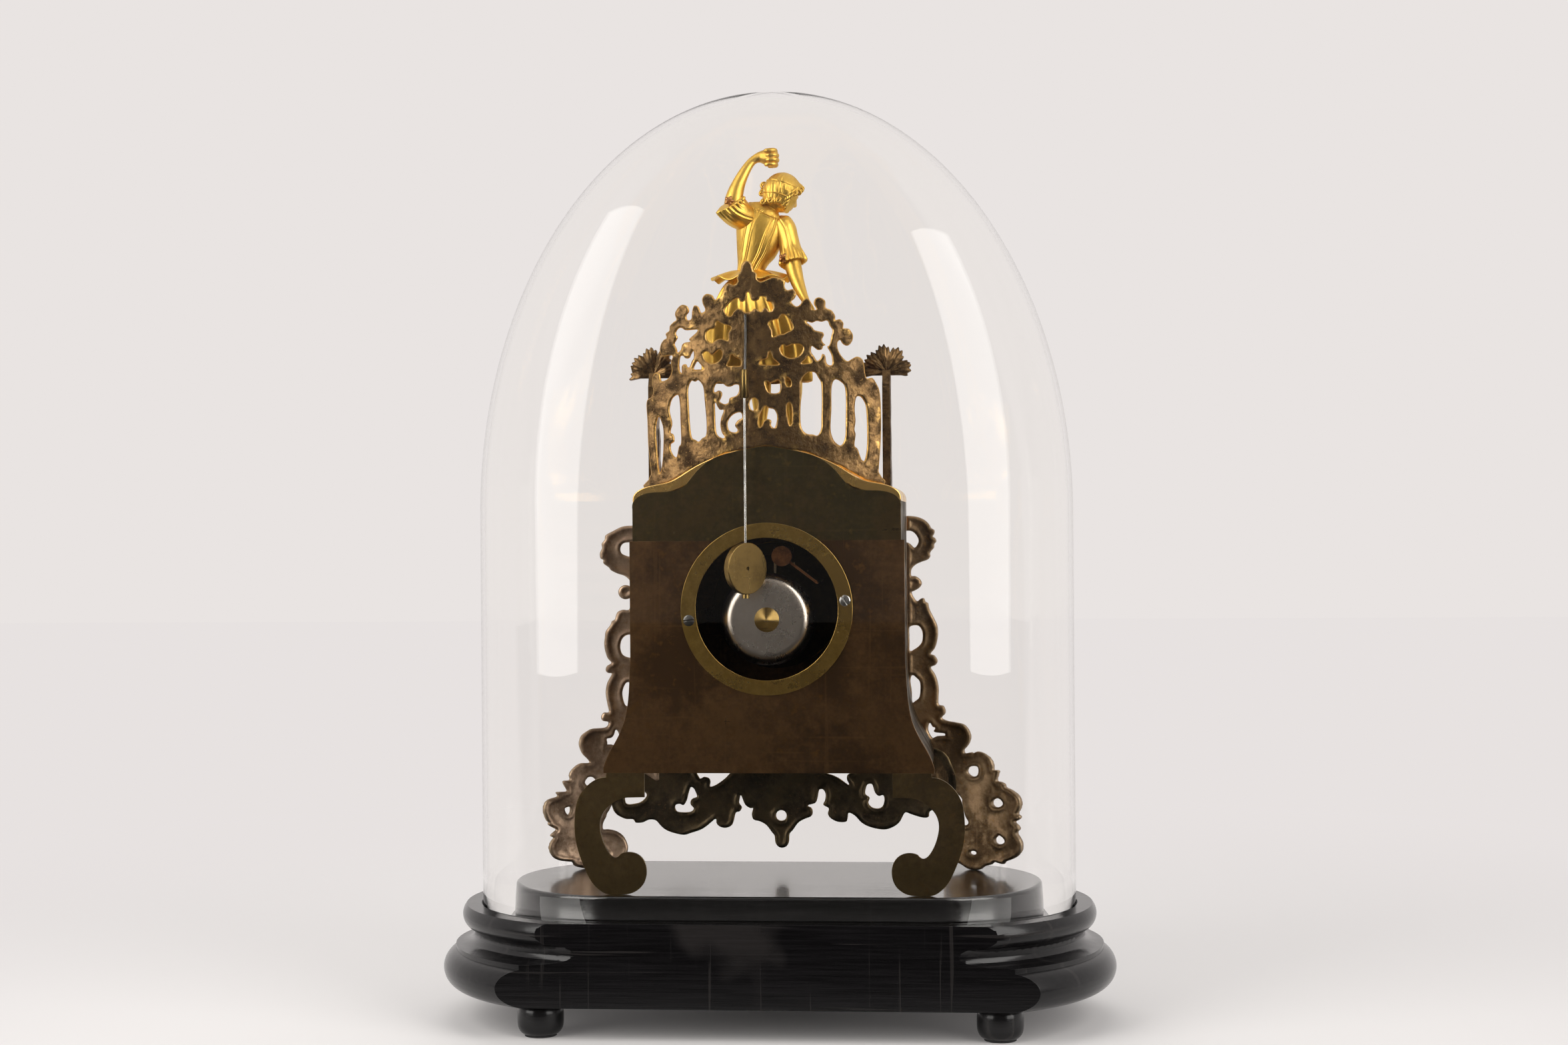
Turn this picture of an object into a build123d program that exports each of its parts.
from build123d import *
from math import atan2, cos, degrees, hypot, radians, sin, sqrt
import os

# A gilt figural striking clock on an ebonised plinth under an oval glass dome.
# Lengths in millimetres. The clock's front faces -Y, Z is up, and the origin is under the plinth's centre.
# Places on the clock are written as seen from behind: u runs to the right there, which is -X, and z runs up.

# Plinth, platform and feet
foot_height = 21.5
foot_radius = 14.5
foot_neck_radius = 11.0
foot_pad_thickness = 1.5
foot_pad_radius = 10.0
foot_spacing_x = 286.0
foot_spacing_y = 150.0
plinth_height = 52.0
plinth_depth = 198.0
plinth_end_spacing = 195.0
torus_radius = 121.0
torus_bulge = 8.0
torus_height = 23.5
fillet_step = 3.0
waist_radius = 101.0
bead_radius = 108.5
bead_bulge = 2.6
bead_height = 13.0
platform_length = 342.6
platform_depth = 149.0
platform_height = 13.7
platform_edge = 1.2
foot_bulge_share = 0.6

# Glass dome and its groove
dome_half_width = 193.0
dome_half_depth = 95.0
dome_glass = 3.0
dome_wall_height = 255.0
dome_rise = 273.4
groove_depth = 2.5
groove_gap = 0.8
dome_angle_shares = [0.0, 0.14, 0.28, 0.42, 0.56, 0.7, 0.82, 0.92]

# Case
leg_height = 75.6
apron_lap = 5.2
lower_plate_height = 145.0
cap_side_height = 28.2
roof_rise = 31.0
case_half_width = 84.0
lower_plate_overhang = 2.0
flare = 17.5
flare_height = 70.0
back_y = 67.0
front_y = -48.0
plate_thickness = 2.0
front_thickness = 3.0
side_thickness = 1.5
leg_inner_reach = 76.7
leg_width = 45.1
pendulum_slot_width = 60.0
pendulum_slot_depth = 30.0
flare_shares = [(1.0, 0.046), (0.8, 0.174), (0.51, 0.303), (0.26, 0.44), (0.114, 0.6), (0.0, 1.0)]
cap_shares = [
    (1.0, -0.26), (0.99, -0.1), (0.95, 0.0), (0.63, 0.16), (0.54, 0.42), (0.42, 0.71), (0.13, 0.935),
]
roof_shares = [(1.0, -0.13), (0.982, 0.065), (0.93, 0.16), (0.73, 0.29), (0.56, 0.55), (0.3, 0.855)]
roof_inner_shares = [(0.93, -0.13), (0.88, -0.03), (0.7, 0.1), (0.52, 0.36), (0.3, 0.66)]
cap_crown_share = 0.984
roof_inner_crown_share = 0.8
leg_outer_shares = [
    (0.552, 1.0), (0.56, 0.965), (0.705, 0.945), (0.849, 0.88), (0.951, 0.785), (1.0, 0.64), (1.0, 0.5),
    (0.938, 0.32), (0.849, 0.186), (0.729, 0.067), (0.583, 0.008), (0.384, 0.0), (0.184, 0.015),
    (0.062, 0.067), (0.0, 0.17), (0.013, 0.245), (0.086, 0.312), (0.235, 0.345), (0.361, 0.33),
]
leg_inner_shares = [
    (0.361, 0.33), (0.446, 0.3), (0.557, 0.367), (0.627, 0.472), (0.65, 0.577), (0.605, 0.666),
    (0.506, 0.733), (0.384, 0.779), (0.235, 0.797), (0.022, 0.8), (0.022, 1.0), (0.552, 1.0),
]

# Cast ornaments of the front, in shares of two lengths: the case's half width across, and the leg's height up
case_side_share = 0.84
casting_thickness = 6.0
casting_bend_radius = 110.0
apron_shares = [
    (0.0, 0.131), (0.038, 0.161), (0.049, 0.216), (0.093, 0.27), (0.147, 0.306), (0.191, 0.33),
    (0.196, 0.397), (0.245, 0.428), (0.276, 0.48), (0.291, 0.438), (0.272, 0.417), (0.276, 0.384),
    (0.305, 0.362), (0.321, 0.308), (0.354, 0.27), (0.397, 0.265), (0.43, 0.286), (0.446, 0.319),
    (0.479, 0.286), (0.55, 0.248), (0.664, 0.213), (0.756, 0.226), (0.821, 0.27), (0.854, 0.312),
    (0.897, 0.316), (0.941, 0.295), (0.984, 0.295), (1.017, 0.319), (1.066, 0.324), (1.1, 0.36),
    (1.1, 0.808), (0.0, 0.808),
]
apron_keyhole_shares = [
    (0.615, 0.533), (0.588, 0.514), (0.574, 0.471), (0.61, 0.455), (0.599, 0.39), (0.626, 0.368),
    (0.702, 0.368), (0.721, 0.395), (0.667, 0.415), (0.631, 0.515),
]
apron_gap_shares = [(0.36, 0.62), (0.4, 0.56), (0.52, 0.56), (0.557, 0.62), (0.54, 0.7), (0.38, 0.7)]
apron_eye_shares = [(0.985, 0.514), (0.914, 0.482), (0.952, 0.43), (0.988, 0.43)]
apron_hole_share = (0.0, 0.346, 0.038)
leaf_shares = [
    (1.1, 0.808), (1.24, 0.808), (1.32, 0.778), (1.38, 0.748), (1.405, 0.708), (1.408, 0.663),
    (1.44, 0.662), (1.43, 0.592), (1.48, 0.574), (1.54, 0.526), (1.58, 0.478), (1.576, 0.418),
    (1.557, 0.384), (1.578, 0.362), (1.542, 0.325), (1.57, 0.291), (1.583, 0.208), (1.58, 0.148),
    (1.55, 0.105), (1.49, 0.068), (1.476, 0.042), (1.408, 0.048), (1.394, 0.034), (1.304, 0.0),
    (1.18, 0.0), (1.09, 0.058), (1.074, 0.138), (1.11, 0.218), (1.19, 0.244), (1.225, 0.258),
    (1.21, 0.318), (1.15, 0.38), (1.1, 0.42),
]
leaf_hole_shares = [(1.274, 0.644, 0.037), (1.432, 0.446, 0.036), (1.445, 0.2, 0.033), (1.27, 0.098, 0.02)]
scroll_disc_shares = [
    (0.88, 2.193, 0.155), (0.9, 1.903, 0.05), (0.91, 1.8, 0.04), (0.88, 1.568, 0.165), (1.0, 1.388, 0.04),
    (0.9, 1.188, 0.145), (1.055, 1.048, 0.04), (1.09, 0.93, 0.155),
]
scroll_bar_shares = [
    (0.82, 2.2, 0.82, 0.85, 0.04), (0.87, 2.1, 0.87, 1.8, 0.04), (0.9, 1.45, 0.98, 1.388, 0.03),
    (0.95, 1.1, 1.055, 1.048, 0.03),
]
scroll_hole_shares = [
    (0.87, 2.198, 0.11, 0.11), (0.9, 1.54, 0.09, 0.16), (0.895, 1.198, 0.066, 0.18),
    (1.04, 0.93, 0.11, 0.11),
]
scroll_foot_share = 0.808
leaf_root_share = 1.1
leaf_tip_share = 1.583
leaf_dome_gap = 31.7

# Gallery behind the figure, in shares of its height, with heights counted from its datum over the platform
gallery_height = 100.0
gallery_foot_drop = 4.0
gallery_foot_share = 0.5
gallery_thickness = 3.5
gallery_plan_radius = 157.0
gallery_back_gap = 1.5
gallery_outline_shares = [
    (-0.77, -0.5), (-0.77, 0.16), (-0.72, 0.32), (-0.66, 0.3), (-0.61, 0.33), (-0.61, 0.42),
    (-0.66, 0.43), (-0.69, 0.47), (-0.66, 0.51), (-0.61, 0.51), (-0.645, 0.56), (-0.575, 0.635),
    (-0.585, 0.7), (-0.54, 0.75), (-0.49, 0.72), (-0.475, 0.67), (-0.455, 0.735), (-0.41, 0.695),
    (-0.4, 0.75), (-0.375, 0.8), (-0.34, 0.805), (-0.3, 0.765), (-0.245, 0.855), (-0.195, 0.866),
    (-0.15, 0.92), (-0.15, 0.96), (-0.115, 1.0), (-0.07, 0.965), (-0.045, 0.9), (0.0, 0.86),
    (0.05, 0.89), (0.12, 0.885), (0.13, 0.825), (0.175, 0.83), (0.2, 0.8), (0.185, 0.75), (0.165, 0.725),
    (0.225, 0.7), (0.235, 0.756), (0.265, 0.772), (0.295, 0.7), (0.31, 0.755), (0.345, 0.775),
    (0.38, 0.735), (0.375, 0.69), (0.43, 0.69), (0.445, 0.635), (0.49, 0.635), (0.5, 0.585),
    (0.54, 0.56), (0.546, 0.51), (0.515, 0.47), (0.46, 0.49), (0.45, 0.455), (0.48, 0.37), (0.53, 0.352),
    (0.6, 0.32), (0.66, 0.27), (0.71, 0.26), (0.71, -0.5),
]
gallery_hole_shares = [
    (-0.103, 0.719, 0.306, 0.11), (-0.29, 0.57, 0.16, 0.12), (0.103, 0.595, 0.155, 0.12),
    (-0.336, 0.413, 0.122, 0.086), (0.166, 0.435, 0.122, 0.09), (-0.495, 0.545, 0.15, 0.1),
    (-0.507, 0.38, 0.098, 0.12), (0.305, 0.555, 0.18, 0.1), (0.356, 0.41, 0.122, 0.12),
    (-0.437, 0.073, 0.116, 0.386), (-0.584, -0.017, 0.06, 0.407), (0.288, 0.108, 0.136, 0.397),
    (0.455, 0.055, 0.096, 0.41), (0.596, -0.045, 0.084, 0.39), (-0.25, 0.18, 0.15, 0.13),
    (-0.17, -0.01, 0.12, 0.12), (-0.072, 0.11, 0.049, 0.08), (0.01, 0.02, 0.1, 0.14),
    (0.165, 0.02, 0.05, 0.16), (-0.295, -0.01, 0.05, 0.17), (-0.7, -0.13, 0.06, 0.38),
]
console_side_shares = [
    (0.0, -0.5), (0.0, 0.24), (-0.05, 0.33), (-0.14, 0.34), (-0.2, 0.28), (-0.17, 0.2), (-0.2, 0.1),
    (-0.16, 0.0), (-0.22, -0.1), (-0.2, -0.22), (-0.27, -0.32), (-0.26, -0.5),
]
console_hole_share = (-0.1, -0.12, 0.05, 0.2)
palmette_shares = [
    (-0.13, 0.0), (-0.15, 0.08), (-0.1, 0.09), (-0.1, 0.15), (-0.04, 0.13), (0.0, 0.17), (0.04, 0.13),
    (0.1, 0.15), (0.1, 0.09), (0.15, 0.08), (0.13, 0.0),
]
console_thickness = 5.0
console_gap = 0.3
palmette_height_share = 0.3

# Figure, in shares of one length, with heights counted from the roof's crown
figure_height = 192.5
figure_top_share = 1.925
figure_y = 30.0
leg_oval_shares = [(0.0, 0.045, 0.07), (0.04, 0.035, 0.05), (0.25, 0.05, 0.05), (0.46, 0.06, 0.06)]
leg_place_shares = [-0.06, 0.14]
skirt_oval_shares = [
    (-0.07, 0.44, 0.33, 0.22), (-0.08, 0.55, 0.335, 0.225), (-0.09, 0.75, 0.27, 0.2),
    (-0.105, 0.95, 0.19, 0.15), (-0.12, 1.1, 0.095, 0.085),
]
bodice_oval_shares = [
    (-0.12, 1.1, 0.085, 0.075), (-0.115, 1.16, 0.085, 0.072), (-0.085, 1.28, 0.12, 0.085),
    (-0.045, 1.4, 0.14, 0.09), (-0.02, 1.48, 0.135, 0.075), (0.01, 1.54, 0.075, 0.055),
    (0.03, 1.58, 0.05, 0.045),
]
head_share = (0.09, 1.665, 0.12, 0.125, 0.135)
raised_arm_shares = [
    (-0.11, 0.0, 1.49, 0.065), (-0.26, 0.02, 1.55, 0.07), (-0.19, 0.0, 1.73, 0.042), (-0.1, 0.0, 1.86, 0.03),
    (0.02, 0.0, 1.87, 0.055),
]
lowered_arm_shares = [
    (0.11, 0.0, 1.45, 0.06), (0.165, 0.06, 1.19, 0.065), (0.235, 0.17, 1.0, 0.035), (0.275, 0.21, 0.9, 0.03),
]

# Movement and dial
dial_height = 177.9
ring_outer_radius = 53.8
ring_inner_radius = 44.5
ring_thickness = 1.6
case_opening_radius = 45.5
front_opening_radius = 42.0
ring_screw_radius = 49.2
ring_screw_head_radius = 3.5
ring_screw_head_height = 1.6
ring_screw_shank_radius = 1.5
ring_screw_slot = 0.9
ring_screw_slot_angle = -50.0
screw_clearance = 0.15
strap_angles = [6.0, 188.0]
strap_width = 8.0
strap_thickness = 2.2
strap_inner_radius = 45.6
strap_lug_length = 8.0
strap_lug_radius = 53.0
movement_radius = 41.0
movement_plate_thickness = 2.0
movement_gap = 40.0
movement_front_y = -46.0
pillar_radius = 2.5
pillar_circle_radius = 36.0
pillar_angles = [20.0, 160.0, 242.0, 298.0]
seat_outer_radius = 50.0
seat_rim_radius = 43.2
seat_inner_radius = 38.0
seat_tube_radius = 41.8
seat_flange_thickness = 2.0
seat_rim_height = 2.3
dial_radius = 43.0
dial_thickness = 1.5
dial_hole_radius = 2.7
winding_hole_radius = 2.8
winding_recess = 0.5
bezel_outer_radius = 51.0
bezel_inner_radius = 42.5
bezel_height = 4.5
bezel_edge = 1.5
ornament_bar_radius = 5.0
ornament_circle_radius = 63.0
ornament_lobe_radius = 6.0
ornament_lobe_count = 16
ornament_thickness = 4.0
ornament_shell_radius = 17.0

# Wheels: tooth counts, and pitch radii of the larger wheels
great_wheel_radius = 17.5
great_wheel_teeth = 84
centre_pinion_leaves = 12
centre_wheel_radius = 13.0
centre_wheel_teeth = 72
third_pinion_leaves = 6
third_wheel_radius = 10.5
third_wheel_teeth = 77
escape_pinion_leaves = 6
escape_wheel_radius = 8.0
escape_wheel_teeth = 30
second_wheel_radius = 10.0
second_wheel_teeth = 72
second_pinion_leaves = 12
pin_wheel_radius = 9.0
pin_wheel_teeth = 56
pin_pinion_leaves = 8
fly_pinion_leaves = 7
cannon_leaves = 12
minute_wheel_teeth = 36
minute_pinion_leaves = 10
hour_wheel_teeth = 40
motion_distance = 8.0
motion_gap = 0.3
motion_wheel_thickness = 1.0
motion_pinion_length = 2.0
stud_radius = 0.6
cannon_pipe_radius = 1.5
hour_pipe_radius = 2.3
hand_gap = 0.8
hand_hub_radius = 3.2
wheel_thickness = 1.2
pinion_length = 5.0
wheel_tooth_shares = (0.5, 0.14, 0.9, 1.1)
pinion_tooth_shares = (0.3, 0.12, 0.35, 1.15)
escape_tooth_shares = (0.5, 0.1)
going_wheel_level = 23.0
strike_wheel_level = 3.0
centre_wheel_level = 28.0
third_wheel_level = 33.0
escape_wheel_level = 10.0
second_wheel_level = 24.0
pin_wheel_level = 13.0
fly_vane_level = 20.0
lifting_pin_count = 8
lifting_pin_radius = 0.4
lifting_pin_circle = 7.5
lifting_pin_length = 2.2
fly_vane_thickness = 0.4
barrel_radius = 15.5
barrel_length = 18.0
barrel_arbor_radius = 2.2
great_wheel_thickness = 2.0
arbor_radius = 0.8
centre_arbor_radius = 1.0
pivot_radius = 0.5
winding_square = 3.0
running_gap = 0.08
third_wheel_angle = 100.0
escape_wheel_angle = 78.0
second_wheel_angle = 100.0
pin_wheel_angle = 60.0
fly_angle = 150.0
barrel_reach = 18.7
anchor_distance = 11.3
anchor_gap = 0.8
pallet_angle = 45.0
crutch_length = 32.0
crutch_gap = 3.0
crutch_thickness = 1.2
pallet_half_width = 0.7
escape_tooth_depth = 1.6
cock_post_reach = 9.0
cock_post_radius = 1.5
cock_height = 8.0
cock_bridge_thickness = 1.5
cock_bridge_width = 7.0
suspension_stud_radius = 0.6
suspension_stud_length = 9.0
fly_radius = 4.0
fly_length = 10.0
hammer_u = 30.0
hammer_rise = 15.9
hammer_head_radius = 6.4
hammer_head_u = 8.0
hammer_head_rise = 32.7
hammer_head_length = 5.0
hammer_head_y = 43.0
hammer_tail_gap = 0.4
bell_radius = 29.3
bell_u = -1.0
bell_drop = 7.1
bell_depth = 13.0
bell_thickness = 1.3
bell_back_y = 56.0
bell_stand_radius = 2.5
bell_flat_share = 0.72
bell_nut_point = 1.3
bell_nut_radius = 7.8
bell_nut_height = 4.5
minute_hand_length = 36.0
hour_hand_length = 25.0
hand_thickness = 0.6
hand_width = 2.4
hand_stem_share = 0.45
hand_leaf_share = 0.6
minute_hand_angle = -48.0
hour_hand_angle = 56.0

# Pendulum, hung by its hook on the gallery
pendulum_u = -12.0
pendulum_hook_share = 0.666
pendulum_bob_height = 203.5
pendulum_wire_radius = 0.8
pendulum_top_gap = 0.6
pendulum_bob_y = 76.6
pendulum_jog_start = 18.0
pendulum_jog_end = 50.0
pendulum_block_width = 5.6
pendulum_block_height = 17.6
pendulum_block_depth = 4.0
bob_radius = 16.0
bob_thickness = 4.3
bob_hole_radius = 1.2
bob_turn = 47.0
bob_nut_radius = 2.4
bob_nut_height = 2.5

# Levels and planes that follow from the sizes above
plinth_top = foot_height + plinth_height
platform_top = plinth_top + platform_height
dome_rim = plinth_top - groove_depth
case_floor = platform_top + leg_height
seam = case_floor + lower_plate_height
shoulder = seam + cap_side_height
crown = shoulder + roof_rise
dial_z = platform_top + dial_height
plate_front_y = back_y - plate_thickness
front_back_y = front_y + front_thickness
train_front_y = movement_front_y + movement_plate_thickness
train_back_y = train_front_y + movement_gap
movement_back_y = train_back_y + movement_plate_thickness
seat_front_y = front_y - seat_flange_thickness
dial_front_y = seat_front_y - dial_thickness
bezel_back_y = seat_front_y - seat_rim_height
bezel_front_y = bezel_back_y - bezel_height
gallery_base = shoulder - gallery_foot_drop + gallery_foot_share * gallery_height
pendulum_hook_z = gallery_base + pendulum_hook_share * gallery_height
front_scale = case_half_width / case_side_share
front_rise_scale = (leg_height + apron_lap) / scroll_foot_share
leaf_reach = dome_half_width - dome_glass - leaf_dome_gap
leaf_stretch = (leaf_reach - leaf_root_share * front_scale) / (leaf_tip_share - leaf_root_share)
figure_scale = figure_height / figure_top_share
overrun = case_half_width


def behind(y):
    """The upright plane at depth y, seen from behind: local x is u and local y is z."""
    return Plane(origin=(0, y, 0), x_dir=(-1, 0, 0), z_dir=(0, 1, 0))


def slab(face, y_from, y_to):
    """A flat (u, z) face carried from one depth to another, further back."""
    return extrude(behind(y_from) * face, amount=y_to - y_from, dir=(0, 1, 0))


def rod(u, z, radius, y_from, y_to):
    return slab(Pos(u, z) * Circle(radius), y_from, y_to)


def tube(u, z, outer, inner, y_from, y_to):
    return slab(Pos(u, z) * (Circle(outer) - Circle(inner)), y_from, y_to)


def face_of(*lines):
    edges = [edge for line in lines for edge in line.edges()]
    return make_face(edges)


def polygon(points):
    return make_face(Polyline(*points, close=True))


def bar(u1, z1, u2, z2, half):
    """A round-ended bar between two points."""
    length = hypot(u2 - u1, z2 - z1)
    turn = degrees(atan2(z2 - z1, u2 - u1))
    return Pos((u1 + u2) / 2, (z1 + z2) / 2) * Rot(0, 0, turn) * SlotCenterToCenter(length, 2 * half)


def oval_hole(u, z, width, height):
    """A hole with round ends, as tall or as wide as asked."""
    if abs(width - height) < width * 0.01:
        return Pos(u, z) * Circle(width / 2)
    if width > height:
        return Pos(u, z) * SlotOverall(width, height)
    return Pos(u, z) * Rot(0, 0, 90) * SlotOverall(height, width)


def scaled(points, scale, height=0.0):
    return [(u * scale, height + z * scale) for u, z in points]


def on_front(u, z):
    """A place on the front castings, from its shares across and up."""
    return (u * front_scale, platform_top + z * front_rise_scale)


def on_leaf(u, z):
    """A place on a corner leaf, whose tip keeps its distance from the dome."""
    across = leaf_root_share * front_scale + (u - leaf_root_share) * leaf_stretch
    return (across, platform_top + z * front_rise_scale)


def mirrored(points):
    return [(-u, z) for u, z in reversed(points)]


def group(pieces):
    return Compound([solid for piece in pieces for solid in piece.solids()])


# Plinth, platform, feet and dome


def plinth_profile():
    """Half section of a moulded end: a torus, a fillet, a hollow and a bead, from the bottom up."""
    low = foot_height
    torus_top = low + torus_height
    hollow_low = torus_top + fillet_step
    bead_low = plinth_top - bead_height
    edge = torus_radius - torus_bulge
    bead_edge = bead_radius - bead_bulge
    base = Polyline((0, plinth_top), (0, low), (edge, low))
    torus = ThreePointArc((edge, low), (torus_radius, (low + torus_top) / 2), (edge, torus_top))
    fillet_line = Polyline((edge, torus_top), (edge, hollow_low))
    middle = (hollow_low + bead_low) / 2
    hollow_in = Bezier((edge, hollow_low), (waist_radius, hollow_low), (waist_radius, middle))
    hollow_out = Bezier((waist_radius, middle), (waist_radius, bead_low), (bead_edge, bead_low))
    bead_middle = (bead_low + plinth_top) / 2
    bead = ThreePointArc((bead_edge, bead_low), (bead_radius, bead_middle), (bead_edge, plinth_top))
    top = Line((bead_edge, plinth_top), (0, plinth_top))
    return Plane.XZ * face_of(base, torus, fillet_line, hollow_in, hollow_out, bead, top)


def plinth():
    end = revolve(plinth_profile(), Axis.Z)
    middle = Pos(0, 0, foot_height + plinth_height / 2) * Box(plinth_end_spacing, plinth_depth, plinth_height)
    reach = 4 * torus_radius + plinth_end_spacing
    cutter = Pos(0, 0, plinth_top) * Box(reach, plinth_depth, 4 * plinth_height)
    body = middle + Pos(plinth_end_spacing / 2, 0) * end + Pos(-plinth_end_spacing / 2, 0) * end
    outer = dome_plan(-groove_gap)
    inner = dome_plan(dome_glass + groove_gap)
    groove = extrude(Pos(0, 0, dome_rim) * (outer - inner), amount=2 * groove_depth)
    return (body & cutter) - groove


def platform():
    outline = Pos(0, 0, plinth_top) * SlotOverall(platform_length, platform_depth)
    board = extrude(outline, amount=platform_height)
    return chamfer(board.faces().sort_by(Axis.Z)[-1].edges(), platform_edge)


def feet():
    middle = (foot_height + foot_pad_thickness) / 2
    side = Spline(
        (foot_neck_radius, foot_pad_thickness),
        (foot_radius, middle),
        (foot_neck_radius, foot_height),
        tangents=[(1, foot_bulge_share), (-1, foot_bulge_share)],
    )
    top = (foot_neck_radius, foot_height)
    bottom = (foot_neck_radius, foot_pad_thickness)
    core = Polyline(top, (0, foot_height), (0, foot_pad_thickness), bottom)
    foot = revolve(Plane.XZ * face_of(side, core), Axis.Z)
    return group([place * foot for place in foot_places()])


def foot_pads():
    pad = Pos(0, 0, foot_pad_thickness / 2) * Cylinder(foot_pad_radius, foot_pad_thickness)
    return group([place * pad for place in foot_places()])


def foot_places():
    xs = [-foot_spacing_x / 2, foot_spacing_x / 2]
    ys = [-foot_spacing_y / 2, foot_spacing_y / 2]
    return [Pos(x, y) for x in xs for y in ys]


def dome_plan(inset, share=1.0):
    return SlotOverall(2 * (dome_half_width - inset) * share, 2 * (dome_half_depth - inset) * share)


def dome_body(inset):
    """A straight wall under a rise whose plan shrinks like an ellipse's half width."""
    spring = dome_rim + dome_wall_height
    wall = extrude(Pos(0, 0, dome_rim) * dome_plan(inset), amount=dome_wall_height)
    top_share = sin(radians(90 * dome_angle_shares[-1]))
    rise = (dome_rise - inset) / top_share
    sections = []
    for share in dome_angle_shares:
        turn = radians(90 * share)
        sections.append(Pos(0, 0, spring + rise * sin(turn)) * dome_plan(inset, cos(turn)))
    return wall + loft(sections)


def glass_dome():
    return dome_body(0.0) - dome_body(dome_glass)


# Case


def side_points(half_width):
    return [(half_width + flare * s, case_floor + flare_height * t) for s, t in flare_shares]


def arch_points(shares, crown_share):
    right = [(case_half_width * s, shoulder + roof_rise * t) for s, t in shares]
    return right + [(0.0, shoulder + roof_rise * crown_share)] + mirrored(right)


def flared_face(half_width, top):
    """The case's outline up to a level: flared foot, straight sides."""
    right = side_points(half_width)
    left = mirrored(right)
    bottom = Polyline(left[-1], (left[-1][0], case_floor), (right[0][0], case_floor), right[0])
    head = Polyline(right[-1], (half_width, top), (-half_width, top), left[0])
    return face_of(bottom, Spline(*right), head, Spline(*left))


def arch_face(points, low):
    base = Polyline(points[-1], (points[-1][0], low), (points[0][0], low), points[0])
    return face_of(base, Spline(*points))


def roof_silhouette():
    return arch_face(arch_points(roof_shares, 1.0), case_floor)


def opening(radius, y_from, y_to):
    return rod(0, dial_z, radius, y_from, y_to)


def ring_screw_points():
    return [
        (ring_screw_radius * cos(radians(a)), dial_z + ring_screw_radius * sin(radians(a)))
        for a in strap_angles
    ]


def ring_screw_holes(y_from, y_to):
    radius = ring_screw_shank_radius + screw_clearance
    return [rod(u, z, radius, y_from, y_to) for u, z in ring_screw_points()]


def back_plate():
    plate = slab(flared_face(case_half_width + lower_plate_overhang, seam), plate_front_y, back_y)
    plate -= opening(case_opening_radius, plate_front_y, back_y)
    return plate - ring_screw_holes(plate_front_y, back_y)


def back_cap():
    plate = slab(arch_face(arch_points(cap_shares, cap_crown_share), seam), plate_front_y, back_y)
    return plate - opening(case_opening_radius, plate_front_y, back_y)


def roof():
    """The cast arch that joins the two sides over the movement."""
    inner = arch_points(roof_inner_shares, roof_inner_crown_share)
    section = roof_silhouette() - arch_face(inner, case_floor)
    section -= polygon(
        [
            (-overrun, case_floor),
            (overrun, case_floor),
            (overrun, shoulder + roof_rise * roof_shares[0][1]),
            (-overrun, shoulder + roof_rise * roof_shares[0][1]),
        ]
    )
    return slab(section, front_back_y, plate_front_y)


def side_plate(side):
    outer = side_points(case_half_width)
    inner = [(u - side_thickness, z) for u, z in outer]
    top = shoulder + roof_rise * roof_shares[0][1]
    low_line = Polyline(inner[0], (inner[0][0], case_floor), (outer[0][0], case_floor), outer[0])
    top_line = Polyline(outer[-1], (outer[-1][0], top), (inner[-1][0], top), inner[-1])
    face = face_of(low_line, Spline(*outer), top_line, Spline(*inner))
    plate = slab(face, front_back_y, plate_front_y)
    return plate if side > 0 else mirror(plate, Plane.YZ)


def bottom_plate():
    half = case_half_width + flare - side_thickness
    middle = (front_back_y + plate_front_y) / 2
    depth = plate_front_y - front_back_y
    board = Pos(0, middle, case_floor + plate_thickness / 2) * Box(2 * half, depth, plate_thickness)
    slot = Pos(0, middle, case_floor) * Box(pendulum_slot_width, pendulum_slot_depth, 4 * plate_thickness)
    return board - slot


def rear_leg(side):
    """A flat scrolled leg in the plane of the back plate, which it meets at the case's floor."""
    outer = [(leg_inner_reach + leg_width * s, platform_top + leg_height * t) for s, t in leg_outer_shares]
    inner = [(leg_inner_reach + leg_width * s, platform_top + leg_height * t) for s, t in leg_inner_shares]
    straight = 3
    scroll = Spline(*outer[1:])
    crook = Spline(*inner[:-straight])
    tab = Polyline(*inner[-straight - 1:], outer[1])
    under = Pos(0, platform_top - leg_width / 2) * Rectangle(4 * leg_inner_reach, leg_width)
    leg = slab(face_of(scroll, crook, tab) - under, plate_front_y, back_y)
    return leg if side > 0 else mirror(leg, Plane.YZ)


def front_plate():
    face = flared_face(case_half_width, shoulder + roof_rise * roof_shares[0][1])
    face += arch_face(arch_points(roof_shares, 1.0), seam)
    plate = slab(face, front_y, front_back_y) - opening(front_opening_radius, front_y, front_back_y)
    return plate - front_shell()


def front_shell():
    """The bent sheet that every front casting lies in: flat before the case, curving back beyond it."""
    outer = casting_bend_radius
    inner = outer - casting_thickness
    face = Pos(0, front_y - casting_thickness / 2) * Rectangle(2 * case_half_width, casting_thickness)
    for side in (-1, 1):
        centre = Pos(side * case_half_width, front_y - casting_thickness + outer)
        quarter = Pos(side * outer / 2, -outer / 2) * Rectangle(outer, outer)
        face += centre * ((Circle(outer) - Circle(inner)) & quarter)
    return extrude(Pos(0, 0, platform_top) * face, amount=front_rise_scale * 3)


def casting(face):
    return slab(face, front_y - casting_bend_radius / 2, front_y + casting_bend_radius) & front_shell()


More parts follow.
